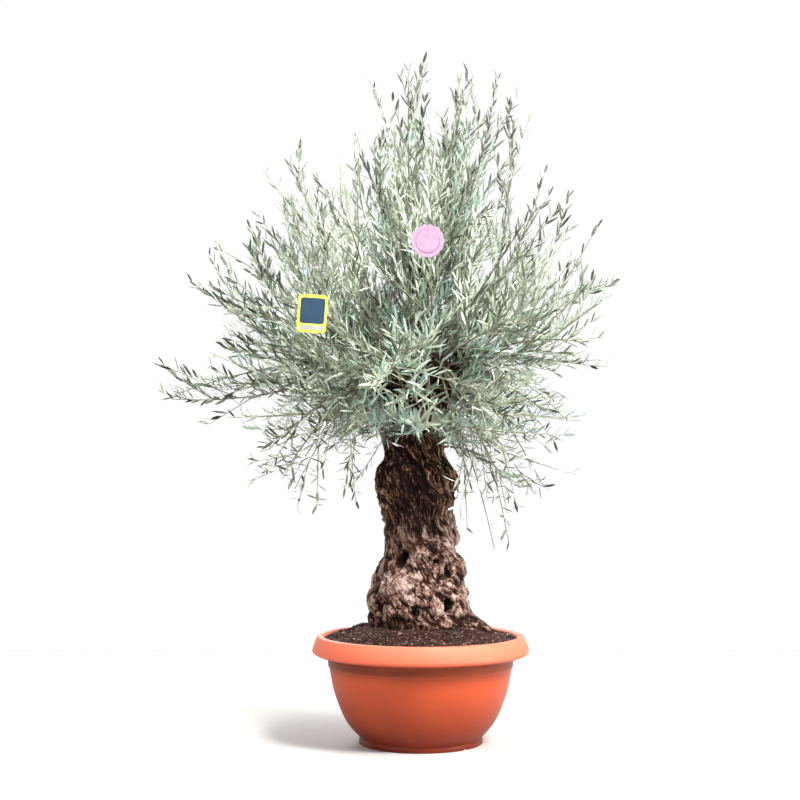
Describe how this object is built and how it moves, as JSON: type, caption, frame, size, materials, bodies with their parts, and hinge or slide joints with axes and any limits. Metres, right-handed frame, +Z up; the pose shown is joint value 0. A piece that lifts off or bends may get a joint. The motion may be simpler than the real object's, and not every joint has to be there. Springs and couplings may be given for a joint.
{
  "type": "potted olive tree",
  "caption": "Old knotted olive trunk in a wide terracotta-coloured bowl, with a pollarded head and an open crown of silver-green leafy shoots; it stands on its flat base.",
  "frame": {"origin": "centre of the flat underside of the bowl, at ground level", "axes": "+Z up through the bowl and trunk, -Y towards the front, where the labels hang, +X to the right as seen from the front"},
  "size_m": [1.4983, 1.2111, 2.2264],
  "materials": {
    "pot": "moulded plastic with a soft satin sheen, terracotta coloured, paler on the rim",
    "soil": "dark granular bark compost",
    "bark": "old olive bark: dark stringy flutes above, greyer smooth knots below",
    "foliage": "narrow leathery leaves, grey-green above and silver below",
    "label_round": "plain pale pink card",
    "label_card": "glossy card with a yellow edge and a plain dark panel"
  },
  "bodies": {
    "root": {"pot": "pot", "soil": "soil", "trunk": "bark", "bough_leader": "bark", "bough_left": "bark", "bough_right": "bark", "bough_front_left": "bark", "bough_front_right": "bark", "bough_back_left": "bark", "bough_back_right": "bark", "foliage_top_left": "foliage", "foliage_top_middle": "foliage", "foliage_top_right": "foliage", "foliage_top_back": "foliage", "foliage_top_front": "foliage", "foliage_upper_left": "foliage", "foliage_left_high": "foliage", "foliage_left_upper": "foliage", "foliage_left_middle": "foliage", "foliage_left_low": "foliage", "foliage_left_back": "foliage", "foliage_right_high": "foliage", "foliage_right_upper": "foliage", "foliage_right_middle": "foliage", "foliage_right_low": "foliage", "foliage_front_left_high": "foliage", "foliage_front_left": "foliage", "foliage_front_left_low": "foliage", "foliage_front_low": "foliage", "foliage_front_high": "foliage", "foliage_front_right_high": "foliage", "foliage_front_right": "foliage", "foliage_front_right_low": "foliage", "foliage_back_left_high": "foliage", "foliage_back_left": "foliage", "foliage_back_left_low": "foliage", "foliage_back_right_high": "foliage", "foliage_back_right": "foliage", "foliage_back_right_low": "foliage", "foliage_low_right": "foliage", "foliage_low_back": "foliage", "label_round": "label_round", "label_card": "label_card"}
  },
  "joints": []
}
